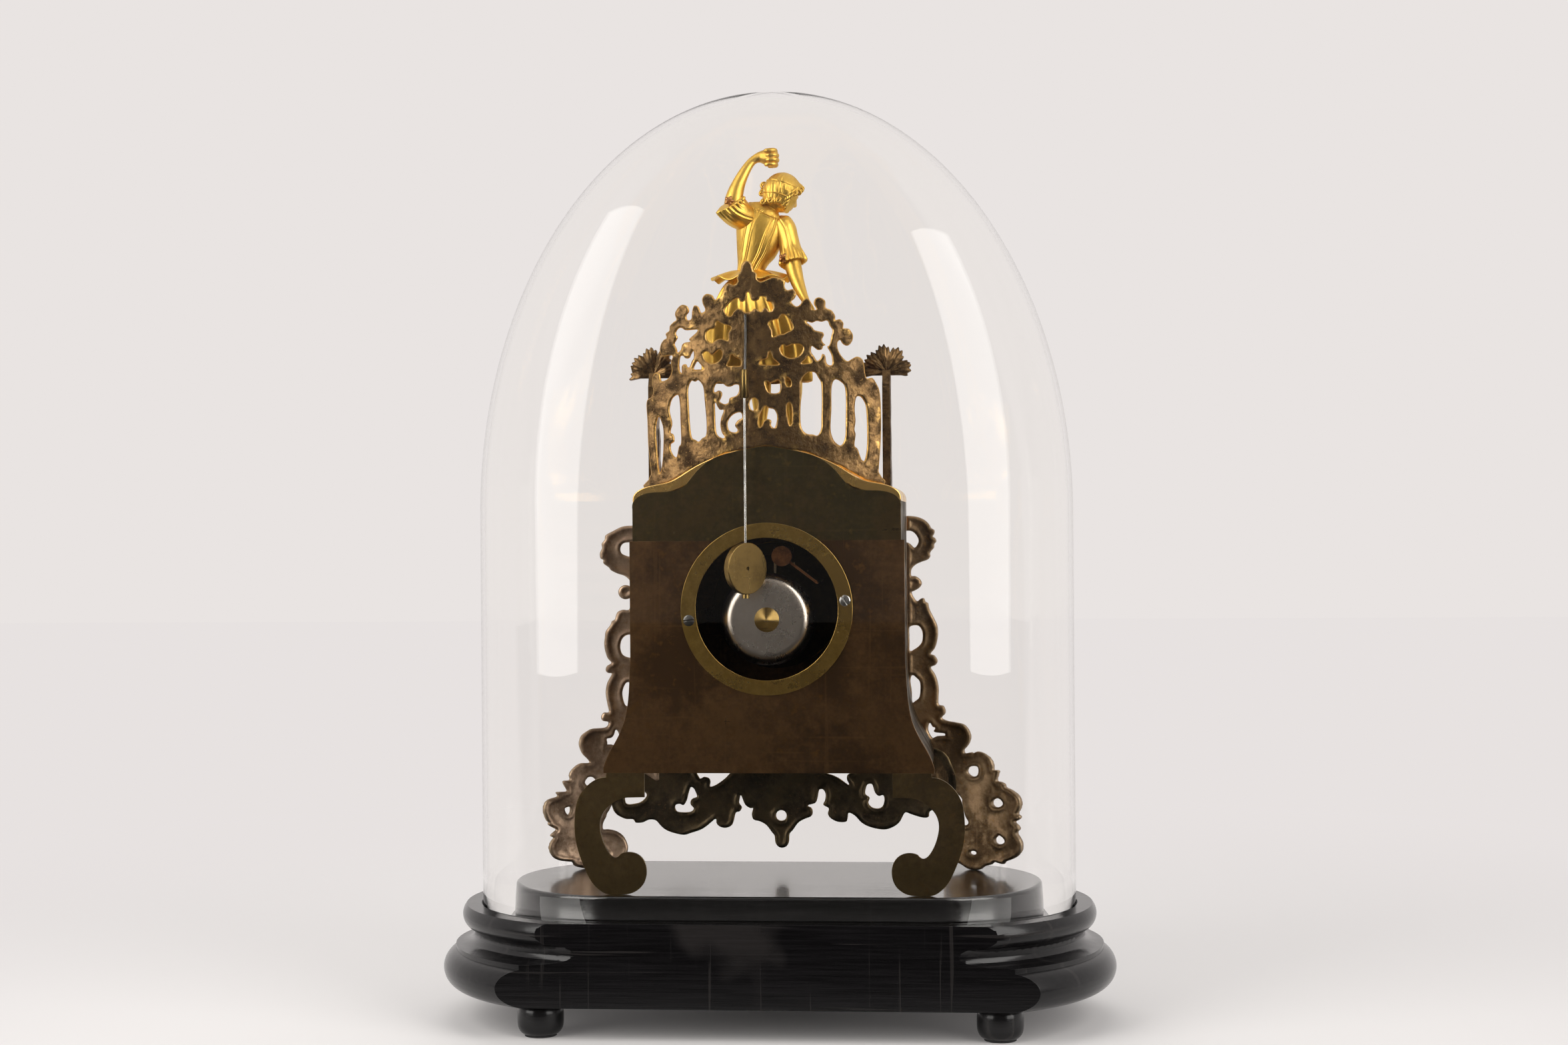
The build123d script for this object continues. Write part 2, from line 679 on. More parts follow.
def apron():
    """The pierced valance between the front feet, with a pendant at its centre."""
    half = [on_front(*share) for share in apron_shares]
    face = polygon(half[:-1] + mirrored(half[1:-1]))
    for shares in (apron_keyhole_shares, apron_gap_shares, apron_eye_shares):
        points = [on_front(*share) for share in shares]
        face -= [polygon(points), polygon(mirrored(points))]
    u, z, radius = apron_hole_share
    face -= Pos(*on_front(u, z)) * Circle(radius * front_scale)
    return casting(face)


def corner_leaf(side):
    """A pierced leaf that ends in the front foot."""
    face = polygon([on_leaf(*share) for share in leaf_shares])
    for u, z, radius in leaf_hole_shares:
        face -= Pos(*on_leaf(u, z)) * Circle(radius * min(leaf_stretch, front_rise_scale))
    leaf = casting(face)
    return leaf if side > 0 else mirror(leaf, Plane.YZ)


def side_scroll(side):
    """A chain of C-scrolls, beads and a leaf down the front's edge."""
    face = Sketch()
    for u, z, radius in scroll_disc_shares:
        face += Pos(*on_front(u, z)) * Circle(radius * front_scale)
    for u1, z1, u2, z2, half in scroll_bar_shares:
        face += bar(*on_front(u1, z1), *on_front(u2, z2), half * front_scale)
    for u, z, width, height in scroll_hole_shares:
        face -= oval_hole(*on_front(u, z), width * front_scale, height * front_scale)
    foot_z = platform_top + scroll_foot_share * front_rise_scale
    below = 2 * (foot_z - platform_top)
    face -= Pos(0, foot_z - below / 2) * Rectangle(4 * front_scale, below)
    scroll = casting(face)
    return scroll if side > 0 else mirror(scroll, Plane.YZ)


# Gallery


def gallery_shell():
    outer = gallery_plan_radius
    inner = outer - gallery_thickness
    back = plate_front_y + gallery_back_gap
    face = Pos(0, back - outer) * (Circle(outer) - Circle(inner))
    return extrude(Pos(0, 0, case_floor) * face, amount=4 * gallery_height)


def gallery():
    """Pierced balustrade that stands on the roof's back edge, bowed towards the back."""
    face = polygon(scaled(gallery_outline_shares, gallery_height, gallery_base)) - roof_silhouette()
    for share in gallery_hole_shares:
        u, z, width, height = [gallery_height * value for value in share]
        face -= oval_hole(u, gallery_base + z, width, height)
    return slab(face, 0.0, back_y + overrun) & gallery_shell()


def gallery_y(u):
    """Depth of the gallery's inner face at a place across it."""
    inner = gallery_plan_radius - gallery_thickness
    return plate_front_y + gallery_back_gap - gallery_plan_radius + sqrt(inner * inner - u * u)


def console(side):
    """A scrolled bracket that runs forward from the gallery's end, with a palmette on top."""
    reach = -min(share for share, _ in gallery_outline_shares) * gallery_height
    u = reach - console_thickness / 2
    end = gallery_y(reach) - console_gap
    outline = polygon([(end + y * gallery_height, gallery_base + z * gallery_height) for y, z in console_side_shares])
    y, z, width, height = [gallery_height * share for share in console_hole_share]
    outline -= oval_hole(end + y, gallery_base + z, width, height)
    plate = extrude(
        Plane(origin=(-u - console_thickness / 2, 0, 0), x_dir=(0, 1, 0), z_dir=(1, 0, 0)) * outline,
        amount=console_thickness,
        dir=(1, 0, 0),
    )
    fan_points = scaled(palmette_shares, gallery_height, gallery_base + palmette_height_share * gallery_height)
    fan_y = end + gallery_height * console_side_shares[3][0]
    fan = slab(Pos(u, 0) * polygon(fan_points), fan_y, fan_y + console_thickness)
    body = plate + fan - slab(roof_silhouette(), front_y, back_y)
    return body if side > 0 else mirror(body, Plane.YZ)


# Figure


def oval_stack(levels, y=None):
    """A loft through level ovals, each given as place across, height, half width and half depth."""
    depth = figure_y if y is None else y
    sections = []
    for u, z, half_u, half_y in levels:
        place = Pos(-u * figure_scale, depth, crown + z * figure_scale)
        sections.append(place * Ellipse(half_u * figure_scale, half_y * figure_scale))
    return loft(sections)


def limb(points):
    """Round joints with tapering bones between them."""
    scale = figure_scale
    places = [(-u * scale, figure_y + y * scale, crown + z * scale) for u, y, z, _ in points]
    radii = [radius * figure_scale for _, _, _, radius in points]
    body = Pos(*places[0]) * Sphere(radii[0])
    for start, end, thick, thin in zip(places, places[1:], radii, radii[1:]):
        direction = Vector(*end) - Vector(*start)
        low = Plane(origin=start, z_dir=direction) * Circle(thick)
        high = Plane(origin=end, z_dir=direction) * Circle(thin)
        body += loft([low, high])
        body += Pos(*end) * Sphere(thin)
    return body


def figure_legs():
    legs = []
    for place in leg_place_shares:
        legs.append(oval_stack([(place, z, half_u, half_y) for z, half_u, half_y in leg_oval_shares]))
    return group(legs)


def figure_skirt():
    skirt = oval_stack(skirt_oval_shares)
    return skirt - figure_legs()


def figure_bodice():
    return oval_stack(bodice_oval_shares)


def head_place():
    return Pos(-head_share[0] * figure_scale, figure_y, crown + head_share[1] * figure_scale)


def figure_head():
    half_u, half_y, half_z = [figure_scale * share for share in head_share[2:]]
    skull = head_place() * scale(Sphere(half_u), by=(1, half_y / half_u, half_z / half_u))
    return skull - figure_bodice()


def raised_arm():
    return limb(raised_arm_shares) - figure_bodice() - figure_head()


def lowered_arm():
    return limb(lowered_arm_shares) - figure_bodice() - figure_skirt()


# Ring, straps and movement frame


def rear_ring():
    ring = tube(0, dial_z, ring_outer_radius, ring_inner_radius, back_y, back_y + ring_thickness)
    return ring - ring_screw_holes(back_y, back_y + ring_thickness)


def ring_screws():
    screws = []
    head_y = back_y + ring_thickness
    for u, z in ring_screw_points():
        screw = rod(u, z, ring_screw_head_radius, head_y, head_y + ring_screw_head_height)
        screw += rod(u, z, ring_screw_shank_radius, plate_front_y - strap_lug_length / 2, head_y)
        slot = Rot(0, 0, ring_screw_slot_angle) * Rectangle(3 * ring_screw_head_radius, ring_screw_slot)
        slot = Pos(u, z) * slot
        depth = ring_screw_head_height / 2
        screws.append(screw - slab(slot, head_y + depth, head_y + 4 * depth))
    return group(screws)


def straps():
    pieces = []
    for angle in strap_angles:
        place = Pos(0, dial_z) * Rot(0, 0, angle)
        bar_place = place * Pos(strap_inner_radius + strap_thickness / 2, 0)
        bar_face = bar_place * Rectangle(strap_thickness, strap_width)
        lug_width = strap_lug_radius - strap_inner_radius
        lug_face = place * Pos(strap_inner_radius + lug_width / 2, 0) * Rectangle(lug_width, strap_width)
        strap = slab(bar_face, front_back_y, plate_front_y)
        strap += slab(lug_face, plate_front_y - strap_lug_length, plate_front_y)
        pieces.append(strap - ring_screw_holes(plate_front_y - strap_lug_length, plate_front_y))
    return group(pieces)


def arbor_places():
    """Where each arbor stands, from the dial's centre: across and up, as seen from behind."""
    great_distance = great_wheel_radius * (1 + centre_pinion_leaves / great_wheel_teeth)
    drop = sqrt(great_distance * great_distance - barrel_reach * barrel_reach)
    third_distance = centre_wheel_radius * (1 + third_pinion_leaves / centre_wheel_teeth)
    escape_distance = third_wheel_radius * (1 + escape_pinion_leaves / third_wheel_teeth)
    second_distance = great_wheel_radius * (1 + second_pinion_leaves / great_wheel_teeth)
    pin_distance = second_wheel_radius * (1 + pin_pinion_leaves / second_wheel_teeth)
    fly_distance = pin_wheel_radius * (1 + fly_pinion_leaves / pin_wheel_teeth)
    places = {"centre": (0.0, 0.0), "going": (-barrel_reach, -drop), "strike": (barrel_reach, -drop)}
    places["third"] = step_from(places["centre"], third_distance, third_wheel_angle)
    places["escape"] = step_from(places["third"], escape_distance, escape_wheel_angle)
    places["anchor"] = step_from(places["escape"], anchor_distance, 90.0)
    places["second"] = step_from(places["strike"], second_distance, second_wheel_angle)
    places["pin"] = step_from(places["second"], pin_distance, pin_wheel_angle)
    places["fly"] = step_from(places["pin"], fly_distance, fly_angle)
    places["hammer"] = (hammer_u, hammer_rise)
    places["minute"] = (0.0, -motion_distance)
    return places


def step_from(place, distance, angle):
    return (place[0] + distance * cos(radians(angle)), place[1] + distance * sin(radians(angle)))


def movement_plate(y_from):
    thick = {"going": barrel_arbor_radius, "strike": barrel_arbor_radius, "centre": centre_arbor_radius}
    plate = slab(Pos(0, dial_z) * Circle(movement_radius), y_from, y_from + movement_plate_thickness)
    for name, (u, z) in arbor_places().items():
        radius = thick.get(name, pivot_radius)
        if name != "minute":
            plate -= rod(u, dial_z + z, radius + running_gap, y_from, y_from + movement_plate_thickness)
    return plate


def pillars():
    pieces = []
    for angle in pillar_angles:
        u, z = step_from((0.0, dial_z), pillar_circle_radius, angle)
        pieces.append(rod(u, z, pillar_radius, train_front_y, train_back_y))
    return group(pieces)


def tooth_face(teeth, radius, tooth_share, tip_share, addendum, dedendum, phase):
    """A toothed outline: each tooth tapers from its root to its tip."""
    pitch = 360.0 / teeth
    points = []
    for index in range(teeth):
        centre = phase + index * pitch
        for reach, turn in (
            (radius - dedendum, -tooth_share / 2),
            (radius + addendum, -tip_share / 2),
            (radius + addendum, tip_share / 2),
            (radius - dedendum, tooth_share / 2),
        ):
            angle = radians(centre + turn * pitch)
            points.append((reach * cos(angle), reach * sin(angle)))
    return polygon(points)


def wheel_face(teeth, radius, phase):
    module = 2 * radius / teeth
    tooth, tip, above, below = wheel_tooth_shares
    return tooth_face(teeth, radius, tooth, tip, above * module, below * module, phase)


def pinion_face(leaves, radius, phase):
    module = 2 * radius / leaves
    tooth, tip, above, below = pinion_tooth_shares
    return tooth_face(leaves, radius, tooth, tip, above * module, below * module, phase)


def mesh_phase(driver_phase, driver_teeth, angle, driven_teeth):
    """Phase that puts a gap of the driven wheel against the driver's tooth on the line of centres."""
    driver_pitch = 360.0 / driver_teeth
    driven_pitch = 360.0 / driven_teeth
    offset = ((driver_phase - angle) / driver_pitch) % 1.0
    return angle + 180.0 + (1 - 2 * offset) * driven_pitch / 2


def line_angle(start, end):
    return degrees(atan2(end[1] - start[1], end[0] - start[0]))


def phases():
    """Tooth phases of both trains and of the motion work, worked out wheel by wheel."""
    places = arbor_places()
    found = {"centre_wheel": 0.0, "second_wheel": 0.0, "cannon": 0.0}

    def follow(name, driver, driver_teeth, start, end, teeth):
        found[name] = mesh_phase(found[driver], driver_teeth, line_angle(places[start], places[end]), teeth)

    follow("third_pinion", "centre_wheel", centre_wheel_teeth, "centre", "third", third_pinion_leaves)
    found["third_wheel"] = found["third_pinion"]
    follow("escape_pinion", "third_wheel", third_wheel_teeth, "third", "escape", escape_pinion_leaves)
    found["centre_pinion"] = 0.0
    follow("going_wheel", "centre_pinion", centre_pinion_leaves, "centre", "going", great_wheel_teeth)
    found["second_pinion"] = 0.0
    follow("strike_wheel", "second_pinion", second_pinion_leaves, "second", "strike", great_wheel_teeth)
    follow("pin_pinion", "second_wheel", second_wheel_teeth, "second", "pin", pin_pinion_leaves)
    found["pin_wheel"] = found["pin_pinion"]
    follow("fly_pinion", "pin_wheel", pin_wheel_teeth, "pin", "fly", fly_pinion_leaves)
    follow("minute_wheel", "cannon", cannon_leaves, "centre", "minute", minute_wheel_teeth)
    found["minute_pinion"] = found["minute_wheel"]
    follow("hour_wheel", "minute_pinion", minute_pinion_leaves, "minute", "centre", hour_wheel_teeth)
    return found


def on_arbor(name, face, level_from, level_to):
    """A face centred on an arbor, between two levels counted back from the front movement plate."""
    u, z = arbor_places()[name]
    return slab(Pos(u, dial_z + z) * face, train_front_y + level_from, train_front_y + level_to)


def arbor(name, radius, pinion=None, pinion_level=0.0, pinion_end=0.0):
    """An arbor with thinner pivots that run in both movement plates, and a pinion cut on it."""
    far_end = movement_gap + movement_plate_thickness
    body = on_arbor(name, Circle(pivot_radius), -movement_plate_thickness, far_end)
    if pinion is None:
        return body + on_arbor(name, Circle(radius), running_gap, movement_gap - running_gap)
    body += on_arbor(name, Circle(radius), running_gap, pinion_level)
    body += on_arbor(name, pinion, pinion_level, pinion_end)
    return body + on_arbor(name, Circle(radius), pinion_end, movement_gap - running_gap)


def pinion_radius(wheel_radius, wheel_teeth, leaves):
    return wheel_radius * leaves / wheel_teeth


def wheel(name, teeth, radius, phase, level, thickness):
    return on_arbor(name, wheel_face(teeth, radius, phase), level, level + thickness)


def barrel(name, phase, wheel_level, drum_level):
    """A spring drum with the great wheel round one end, free on its winding arbor."""
    drum = on_arbor(name, Circle(barrel_radius), drum_level, drum_level + barrel_length)
    drum += wheel(name, great_wheel_teeth, great_wheel_radius, phase, wheel_level, great_wheel_thickness)
    return drum - on_arbor(name, Circle(barrel_arbor_radius + running_gap), 0.0, movement_gap)


def going_barrel():
    return barrel("going", phases()["going_wheel"], going_wheel_level, going_wheel_level - barrel_length)


def strike_barrel():
    drum_level = strike_wheel_level + great_wheel_thickness
    return barrel("strike", phases()["strike_wheel"], strike_wheel_level, drum_level)


def winding_arbor(name):
    """A barrel's arbor, with the square that the key turns in the dial's hole."""
    end = movement_gap + movement_plate_thickness
    body = on_arbor(name, Circle(barrel_arbor_radius), -movement_plate_thickness, end)
    u, z = arbor_places()[name]
    square = Pos(u, dial_z + z) * Rectangle(winding_square, winding_square)
    return body + slab(square, dial_front_y + winding_recess, movement_front_y)


def centre_arbor():
    """The hour's turn: its pinion takes the barrel's drive and its wheel drives the third arbor."""
    found = phases()
    radius = pinion_radius(great_wheel_radius, great_wheel_teeth, centre_pinion_leaves)
    middle = going_wheel_level + great_wheel_thickness / 2
    low = middle - pinion_length / 2
    high = middle + pinion_length / 2
    level = centre_wheel_level
    body = on_arbor("centre", Circle(centre_arbor_radius), -movement_plate_thickness, low)
    body += on_arbor("centre", pinion_face(centre_pinion_leaves, radius, found["centre_pinion"]), low, high)
    body += on_arbor("centre", Circle(centre_arbor_radius), high, movement_gap + movement_plate_thickness)
    phase = found["centre_wheel"]
    body += wheel("centre", centre_wheel_teeth, centre_wheel_radius, phase, level, wheel_thickness)
    return body + rod(0, dial_z, centre_arbor_radius, minute_hand_y() - hand_gap, movement_front_y)


def geared_arbor(name, driver_level, pinion, wheel_at):
    """An arbor whose pinion is centred on its driver's wheel, with a wheel of its own."""
    leaves, driver_teeth, driver_radius, pinion_phase = pinion
    radius = pinion_radius(driver_radius, driver_teeth, leaves)
    middle = driver_level + wheel_thickness / 2
    face = pinion_face(leaves, radius, pinion_phase)
    half = (pinion_length - wheel_thickness) / 2
    body = arbor(name, arbor_radius, face, middle - half, middle + half)
    return body + wheel_at


def third_wheel():
    found = phases()
    phase = found["third_wheel"]
    pinion = (third_pinion_leaves, centre_wheel_teeth, centre_wheel_radius, found["third_pinion"])
    own = wheel("third", third_wheel_teeth, third_wheel_radius, phase, third_wheel_level, wheel_thickness)
    return geared_arbor("third", centre_wheel_level, pinion, own)


def escape_wheel():
    found = phases()
    pinion = (escape_pinion_leaves, third_wheel_teeth, third_wheel_radius, found["escape_pinion"])
    tooth, tip = escape_tooth_shares
    teeth = tooth_face(escape_wheel_teeth, escape_wheel_radius, tooth, tip, 0.0, escape_tooth_depth, 0.0)
    own = on_arbor("escape", teeth, escape_wheel_level, escape_wheel_level + wheel_thickness)
    return geared_arbor("escape", third_wheel_level, pinion, own)


def second_wheel():
    """The strike train's second arbor, driven by the strike barrel."""
    found = phases()
    radius = pinion_radius(great_wheel_radius, great_wheel_teeth, second_pinion_leaves)
    middle = strike_wheel_level + great_wheel_thickness / 2
    face = pinion_face(second_pinion_leaves, radius, found["second_pinion"])
    half = great_wheel_thickness
    phase = found["second_wheel"]
    body = arbor("second", arbor_radius, face, middle - half, middle + half)
    level = second_wheel_level
    return body + wheel("second", second_wheel_teeth, second_wheel_radius, phase, level, wheel_thickness)


def pin_wheel():
    """Carries the pins that lift the hammer's tail."""
    found = phases()
    pinion = (pin_pinion_leaves, second_wheel_teeth, second_wheel_radius, found["pin_pinion"])
    phase = found["pin_wheel"]
    own = wheel("pin", pin_wheel_teeth, pin_wheel_radius, phase, pin_wheel_level, wheel_thickness)
    back = pin_wheel_level + wheel_thickness
    for index in range(lifting_pin_count):
        u, z = step_from((0.0, 0.0), lifting_pin_circle, index * 360.0 / lifting_pin_count)
        own += on_arbor("pin", Pos(u, z) * Circle(lifting_pin_radius), back, back + lifting_pin_length)
    return geared_arbor("pin", second_wheel_level, pinion, own)


def fly():
    found = phases()
    pinion = (fly_pinion_leaves, pin_wheel_teeth, pin_wheel_radius, found["fly_pinion"])
    vane_end = fly_vane_level + fly_length
    vane = on_arbor("fly", Rectangle(2 * fly_radius, fly_vane_thickness), fly_vane_level, vane_end)
    return geared_arbor("fly", pin_wheel_level, pinion, vane)


def anchor():
    """Anchor, arbor and crutch: the pallets stand just clear of the escape wheel's teeth."""
    pallet_reach = escape_wheel_radius + anchor_gap + pallet_half_width
    reach = pallet_reach * cos(radians(pallet_angle))
    drop = anchor_distance - pallet_reach * sin(radians(pallet_angle))
    u, z = arbor_places()["anchor"]
    top = dial_z + z
    body = arbor("anchor", arbor_radius)
    level = train_front_y + escape_wheel_level
    for side in (-1, 1):
        arm = bar(u, top, u + side * reach, top - drop, pallet_half_width)
        body += slab(arm, level, level + wheel_thickness)
    crutch_y = movement_back_y + crutch_gap
    body += rod(u, top, pivot_radius, movement_back_y, movement_back_y + cock_height + cock_bridge_thickness)
    body += slab(bar(u, top, u, top - crutch_length, arbor_radius), crutch_y, crutch_y + crutch_thickness)
    return body


def back_cock():
    """A bridge on two posts that holds the anchor's rear pivot and the suspension's stud."""
    u, z = arbor_places()["anchor"]
    top = dial_z + z
    bridge_y = movement_back_y + cock_height
    half = cock_post_reach
    bridge_back_y = bridge_y + cock_bridge_thickness
    stud_z = top + cock_bridge_width / 4
    bridge = slab(bar(u - half, top, u + half, top, cock_bridge_width / 2), bridge_y, bridge_back_y)
    for side in (-1, 1):
        bridge += rod(u + side * half, top, cock_post_radius, movement_back_y, bridge_y)
    bridge += rod(u, stud_z, suspension_stud_radius, bridge_y, bridge_y + suspension_stud_length)
    return bridge - rod(u, top, pivot_radius + running_gap, bridge_y, bridge_back_y)


def hammer():
    """Arbor, arm and head: the head rests over the bell's rim and lifts away from it."""
    u, z = arbor_places()["hammer"]
    top = dial_z + z
    head_u = hammer_head_u
    head_z = dial_z + hammer_head_rise
    arm_y = hammer_head_y + (hammer_head_length - crutch_thickness) / 2
    tail_level = pin_wheel_level + wheel_thickness + lifting_pin_length / 2
    pin_u, pin_z = arbor_places()["pin"]
    pins_reach = lifting_pin_circle + lifting_pin_radius
    tail_length = hypot(pin_u - u, pin_z - z) - pins_reach - hammer_tail_gap - arbor_radius
    tail_u, tail_z = step_from((u, z), tail_length, line_angle((u, z), (pin_u, pin_z)))
    tail = bar(0, 0, tail_u - u, tail_z - z, arbor_radius)
    body = arbor("hammer", arbor_radius)
    body += on_arbor("hammer", tail, tail_level, tail_level + wheel_thickness)
    body += rod(u, top, pivot_radius, movement_back_y, movement_back_y + running_gap)
    body += rod(u, top, arbor_radius, movement_back_y + running_gap, arm_y + crutch_thickness)
    body += slab(bar(u, top, head_u, head_z, arbor_radius), arm_y, arm_y + crutch_thickness)
    return body + rod(head_u, head_z, hammer_head_radius, hammer_head_y, hammer_head_y + hammer_head_length)


# Bell


def bell_section(inset):
    """Half section of the bell: a flat crown that turns down in a round shoulder to the rim."""
    radius = bell_radius - inset
    crown_y = bell_back_y - inset
    flat = radius * bell_flat_share
    rim_y = bell_back_y - bell_depth
    side_y = crown_y - (radius - flat)
    shoulder_bend = (radius - flat) * sin(radians(45))
    turn_y = (radius - flat) * (1 - sin(radians(45)))
    face = face_of(
        Polyline((flat, crown_y), (0, crown_y), (0, rim_y), (radius, rim_y), (radius, side_y)),
        ThreePointArc((radius, side_y), (flat + shoulder_bend, crown_y - turn_y), (flat, crown_y)),
    )
    return face


def bell():
    profile = bell_section(0.0) - bell_section(bell_thickness)
    shell = revolve(profile, Axis.Y)
    hole = slab(Circle(bell_stand_radius / 2 + running_gap), bell_back_y - bell_depth, bell_back_y)
    return bell_place() * (shell - hole)


def bell_place():
    return Pos(-bell_u, 0, dial_z - bell_drop)


def bell_stand():
    """A post from the rear plate to the bell, with a screwed end that passes through the crown."""
    inside = bell_back_y - bell_thickness
    post = slab(Circle(bell_stand_radius), movement_back_y, inside)
    post += slab(Circle(bell_stand_radius / 2), inside, bell_back_y + bell_nut_height / 2)
    return bell_place() * post


def bell_nut():
    """A shallow cone with a round point."""
    low = bell_back_y
    high = low + bell_nut_height
    cone = face_of(Polyline((0, low), (bell_nut_radius, low), (bell_nut_point, high), (0, high), (0, low)))
    nut = revolve(cone, Axis.Y) + Pos(0, high, 0) * Sphere(bell_nut_point)
    nut -= slab(Circle(bell_stand_radius / 2 + running_gap / 2), low, low + bell_nut_height / 2 + running_gap)
    return bell_place() * nut


# Dial, motion work, hands and bezel


def dial_seat():
    """The ring that holds the movement's front plate, the dial and the bezel."""
    seat = tube(0, dial_z, seat_outer_radius, seat_inner_radius, seat_front_y, front_y)
    seat += tube(0, dial_z, seat_tube_radius, seat_inner_radius, front_y, movement_front_y)
    rim_y = seat_front_y - seat_rim_height
    return seat + tube(0, dial_z, seat_outer_radius, seat_rim_radius, rim_y, seat_front_y)


def bezel():
    """A fixed ring with a bevelled inner edge that holds the dial down; the dome stands in for a glass."""
    ring = tube(0, dial_z, bezel_outer_radius, bezel_inner_radius, bezel_front_y, bezel_back_y)
    return chamfer(ring.edges().filter_by(GeomType.CIRCLE).group_by(Axis.Y)[0], bezel_edge)


def dial():
    face = Circle(dial_radius) - Circle(dial_hole_radius)
    for name in ("going", "strike"):
        face -= Pos(*arbor_places()[name]) * Circle(winding_hole_radius)
    return slab(Pos(0, dial_z) * face, dial_front_y, seat_front_y)


def cannon_front_y():
    return movement_front_y - motion_gap - motion_pinion_length


def hour_wheel_back_y():
    return cannon_front_y() - motion_gap


def hour_hand_y():
    return dial_front_y - hand_gap - hand_thickness


def minute_hand_y():
    return hour_hand_y() - hand_gap - hand_thickness


def motion_radius(teeth, partner_teeth):
    return motion_distance * teeth / (teeth + partner_teeth)


def cannon_pinion():
    """The minute hand's pipe on the centre arbor, with the pinion that drives the motion work."""
    radius = motion_radius(cannon_leaves, minute_wheel_teeth)
    face = pinion_face(cannon_leaves, radius, phases()["cannon"])
    body = slab(Pos(0, dial_z) * face, cannon_front_y(), movement_front_y - motion_gap)
    body += rod(0, dial_z, cannon_pipe_radius, minute_hand_y(), cannon_front_y())
    return body - rod(0, dial_z, centre_arbor_radius + running_gap, minute_hand_y(), movement_front_y)


def minute_wheel():
    u, z = arbor_places()["minute"]
    place = Pos(u, dial_z + z)
    back = movement_front_y - motion_gap
    front = back - motion_wheel_thickness
    wheel_radius = motion_radius(minute_wheel_teeth, cannon_leaves)
    leaf_radius = motion_radius(minute_pinion_leaves, hour_wheel_teeth)
    body = slab(place * wheel_face(minute_wheel_teeth, wheel_radius, phases()["minute_wheel"]), front, back)
    pinion = place * pinion_face(minute_pinion_leaves, leaf_radius, phases()["minute_pinion"])
    body += slab(pinion, hour_wheel_back_y() - motion_wheel_thickness, front)
    return body - rod(u, dial_z + z, stud_radius + running_gap, seat_front_y, movement_front_y)


def minute_stud():
    u, z = arbor_places()["minute"]
    return rod(u, dial_z + z, stud_radius, hour_wheel_back_y() - motion_wheel_thickness, movement_front_y)


def hour_wheel():
    """Turns on the cannon pinion's pipe and carries the hour hand."""
    radius = motion_radius(hour_wheel_teeth, minute_pinion_leaves)
    back = hour_wheel_back_y()
    face = Pos(0, dial_z) * wheel_face(hour_wheel_teeth, radius, phases()["hour_wheel"])
    body = slab(face, back - motion_wheel_thickness, back)
    body += rod(0, dial_z, hour_pipe_radius, hour_hand_y(), back)
    return body - rod(0, dial_z, cannon_pipe_radius + running_gap, hour_hand_y(), movement_front_y)


def hand(length, bore, y_from, angle):
    """A leaf-shaped hand with a round hub."""
    blade = polygon(
        [
            (-hand_width / 3, 0),
            (-hand_width / 3, length * hand_stem_share),
            (-hand_width, length * hand_leaf_share),
            (0, length),
            (hand_width, length * hand_leaf_share),
            (hand_width / 3, length * hand_stem_share),
            (hand_width / 3, 0),
        ]
    )
    face = Rot(0, 0, angle) * blade + Circle(hand_hub_radius) - Circle(bore)
    return slab(Pos(0, dial_z) * face, y_from, y_from + hand_thickness)


def minute_hand():
    return hand(minute_hand_length, cannon_pipe_radius, minute_hand_y(), minute_hand_angle)


def hour_hand():
    return hand(hour_hand_length, hour_pipe_radius, hour_hand_y(), hour_hand_angle)


def front_ornament():
    """A wreath of lobes round the dial with a shell below it."""
    outer = ornament_circle_radius + ornament_bar_radius
    face = Circle(outer) - Circle(ornament_circle_radius - ornament_bar_radius)
    for index in range(ornament_lobe_count):
        u, z = step_from((0.0, 0.0), outer, index * 360.0 / ornament_lobe_count)
        face += Pos(u, z) * Circle(ornament_lobe_radius)
    face += Pos(0, -ornament_circle_radius - ornament_shell_radius) * Circle(ornament_shell_radius)
    return slab(Pos(0, dial_z) * face, front_y - ornament_thickness, front_y)


# Pendulum


def pendulum_gallery_y():
    reach = gallery_plan_radius
    return plate_front_y + gallery_back_gap - reach + sqrt(reach * reach - pendulum_u * pendulum_u)


def pendulum_wire_y():
    return pendulum_gallery_y() + pendulum_top_gap + pendulum_wire_radius


def pendulum_hook():
    """A bent wire that hooks over the gallery's edge and jogs back to hang clear of the case."""
    top = pendulum_hook_z + pendulum_wire_radius
    back_y = pendulum_wire_y()
    inner_y = pendulum_gallery_y() - gallery_thickness - pendulum_top_gap - pendulum_wire_radius
    path = Polyline(
        (0, inner_y, top - 4 * pendulum_wire_radius),
        (0, inner_y, top),
        (0, back_y, top),
        (0, back_y, top - pendulum_jog_start),
        (0, pendulum_bob_y, top - pendulum_jog_end),
    )
    wire = wire_along(path, pendulum_wire_radius)
    return Pos(-pendulum_u, 0, 0) * wire


def wire_along(path, radius):
    """Round wire along straight runs, with a ball at each bend."""
    points = [edge @ 0 for edge in path.edges()]
    points.append(path.edges()[-1] @ 1)
    body = Part()
    for start, end in zip(points, points[1:]):
        run = extrude(Plane(origin=start, z_dir=end - start) * Circle(radius), amount=(end - start).length)
        body += run
        body += Pos(*end) * Sphere(radius)
    return body


def pendulum_levels():
    """Top and bottom of the brass block, and the bob's centre."""
    top = pendulum_hook_z + pendulum_wire_radius
    block_top = top - pendulum_jog_end + pendulum_block_depth / 4
    bob_z = platform_top + pendulum_bob_height
    return block_top, block_top - pendulum_block_height, bob_z


def pendulum_block():
    high, low, _ = pendulum_levels()
    centre = Pos(-pendulum_u, pendulum_bob_y, (high + low) / 2)
    return centre * Box(pendulum_block_width, pendulum_block_depth, high - low) - pendulum_hook()


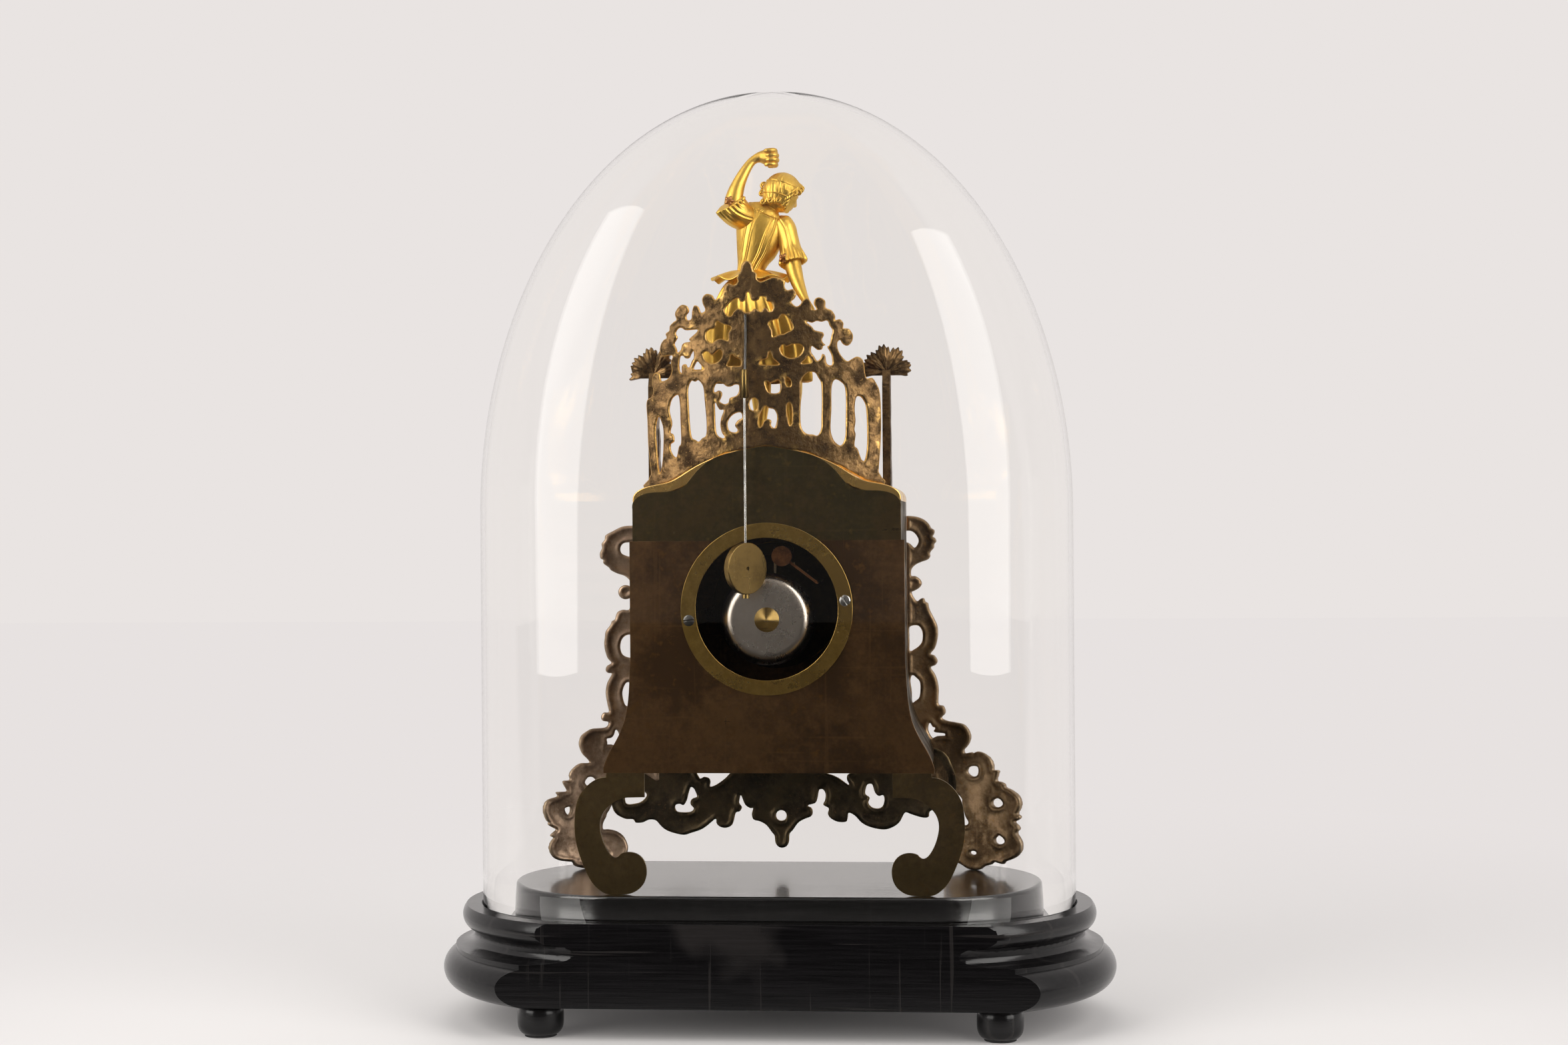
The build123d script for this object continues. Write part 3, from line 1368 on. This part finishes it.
def pendulum_rod():
    _, low, bob_z = pendulum_levels()
    rod_low = bob_z - bob_radius - bob_nut_height
    length = low - rod_low
    return Pos(-pendulum_u, pendulum_bob_y, rod_low + length / 2) * Cylinder(pendulum_wire_radius, length)


def pendulum_bob():
    _, _, bob_z = pendulum_levels()
    disc = Rot(90, 0, 0) * Cylinder(bob_radius, bob_thickness)
    disc -= Rot(90, 0, 0) * Cylinder(bob_hole_radius, 2 * bob_thickness)
    disc = fillet(disc.edges().filter_by(GeomType.CIRCLE).sort_by(SortBy.RADIUS)[-2:], bob_thickness / 8)
    return Pos(-pendulum_u, pendulum_bob_y, bob_z) * Rot(0, 0, bob_turn) * disc - pendulum_rod()


def bob_nut():
    _, _, bob_z = pendulum_levels()
    place = Pos(-pendulum_u, pendulum_bob_y, bob_z - bob_radius - bob_nut_height / 2)
    return place * Cylinder(bob_nut_radius, bob_nut_height) - pendulum_rod()


parts = {
    "plinth": plinth,
    "platform": platform,
    "bun_feet": feet,
    "foot_pads": foot_pads,
    "glass_dome": glass_dome,
    "back_plate": back_plate,
    "back_cap": back_cap,
    "roof": roof,
    "left_side_plate": lambda: side_plate(-1),
    "right_side_plate": lambda: side_plate(1),
    "bottom_plate": bottom_plate,
    "left_rear_leg": lambda: rear_leg(-1),
    "right_rear_leg": lambda: rear_leg(1),
    "front_plate": front_plate,
    "apron": apron,
    "left_corner_leaf": lambda: corner_leaf(-1),
    "right_corner_leaf": lambda: corner_leaf(1),
    "left_side_scroll": lambda: side_scroll(-1),
    "right_side_scroll": lambda: side_scroll(1),
    "front_ornament": front_ornament,
    "gallery": gallery,
    "gallery_consoles": lambda: group([console(-1), console(1)]),
    "figure_legs": figure_legs,
    "figure_skirt": figure_skirt,
    "figure_bodice": figure_bodice,
    "figure_head": figure_head,
    "figure_raised_arm": raised_arm,
    "figure_lowered_arm": lowered_arm,
    "rear_ring": rear_ring,
    "ring_screws": ring_screws,
    "movement_straps": straps,
    "front_movement_plate": lambda: movement_plate(movement_front_y) + minute_stud(),
    "rear_movement_plate": lambda: movement_plate(train_back_y),
    "movement_pillars": pillars,
    "going_barrel": going_barrel,
    "strike_barrel": strike_barrel,
    "going_winding_arbor": lambda: winding_arbor("going"),
    "strike_winding_arbor": lambda: winding_arbor("strike"),
    "centre_arbor": centre_arbor,
    "third_wheel": third_wheel,
    "escape_wheel": escape_wheel,
    "anchor": anchor,
    "back_cock": back_cock,
    "second_wheel": second_wheel,
    "pin_wheel": pin_wheel,
    "fly": fly,
    "hammer": hammer,
    "bell": bell,
    "bell_stand": bell_stand,
    "bell_nut": bell_nut,
    "dial_seat": dial_seat,
    "dial": dial,
    "motion_work_wheel": minute_wheel,
    "hour_wheel": hour_wheel,
    "hour_hand": hour_hand,
    "cannon_pinion": cannon_pinion,
    "minute_hand": minute_hand,
    "bezel": bezel,
    "pendulum_rod": lambda: group([pendulum_hook(), pendulum_block(), pendulum_rod()]),
    "pendulum_bob": lambda: group([pendulum_bob(), bob_nut()]),
}

os.makedirs("parts", exist_ok=True)
for name, make in parts.items():
    export_step(make(), f"parts/{name}.step")
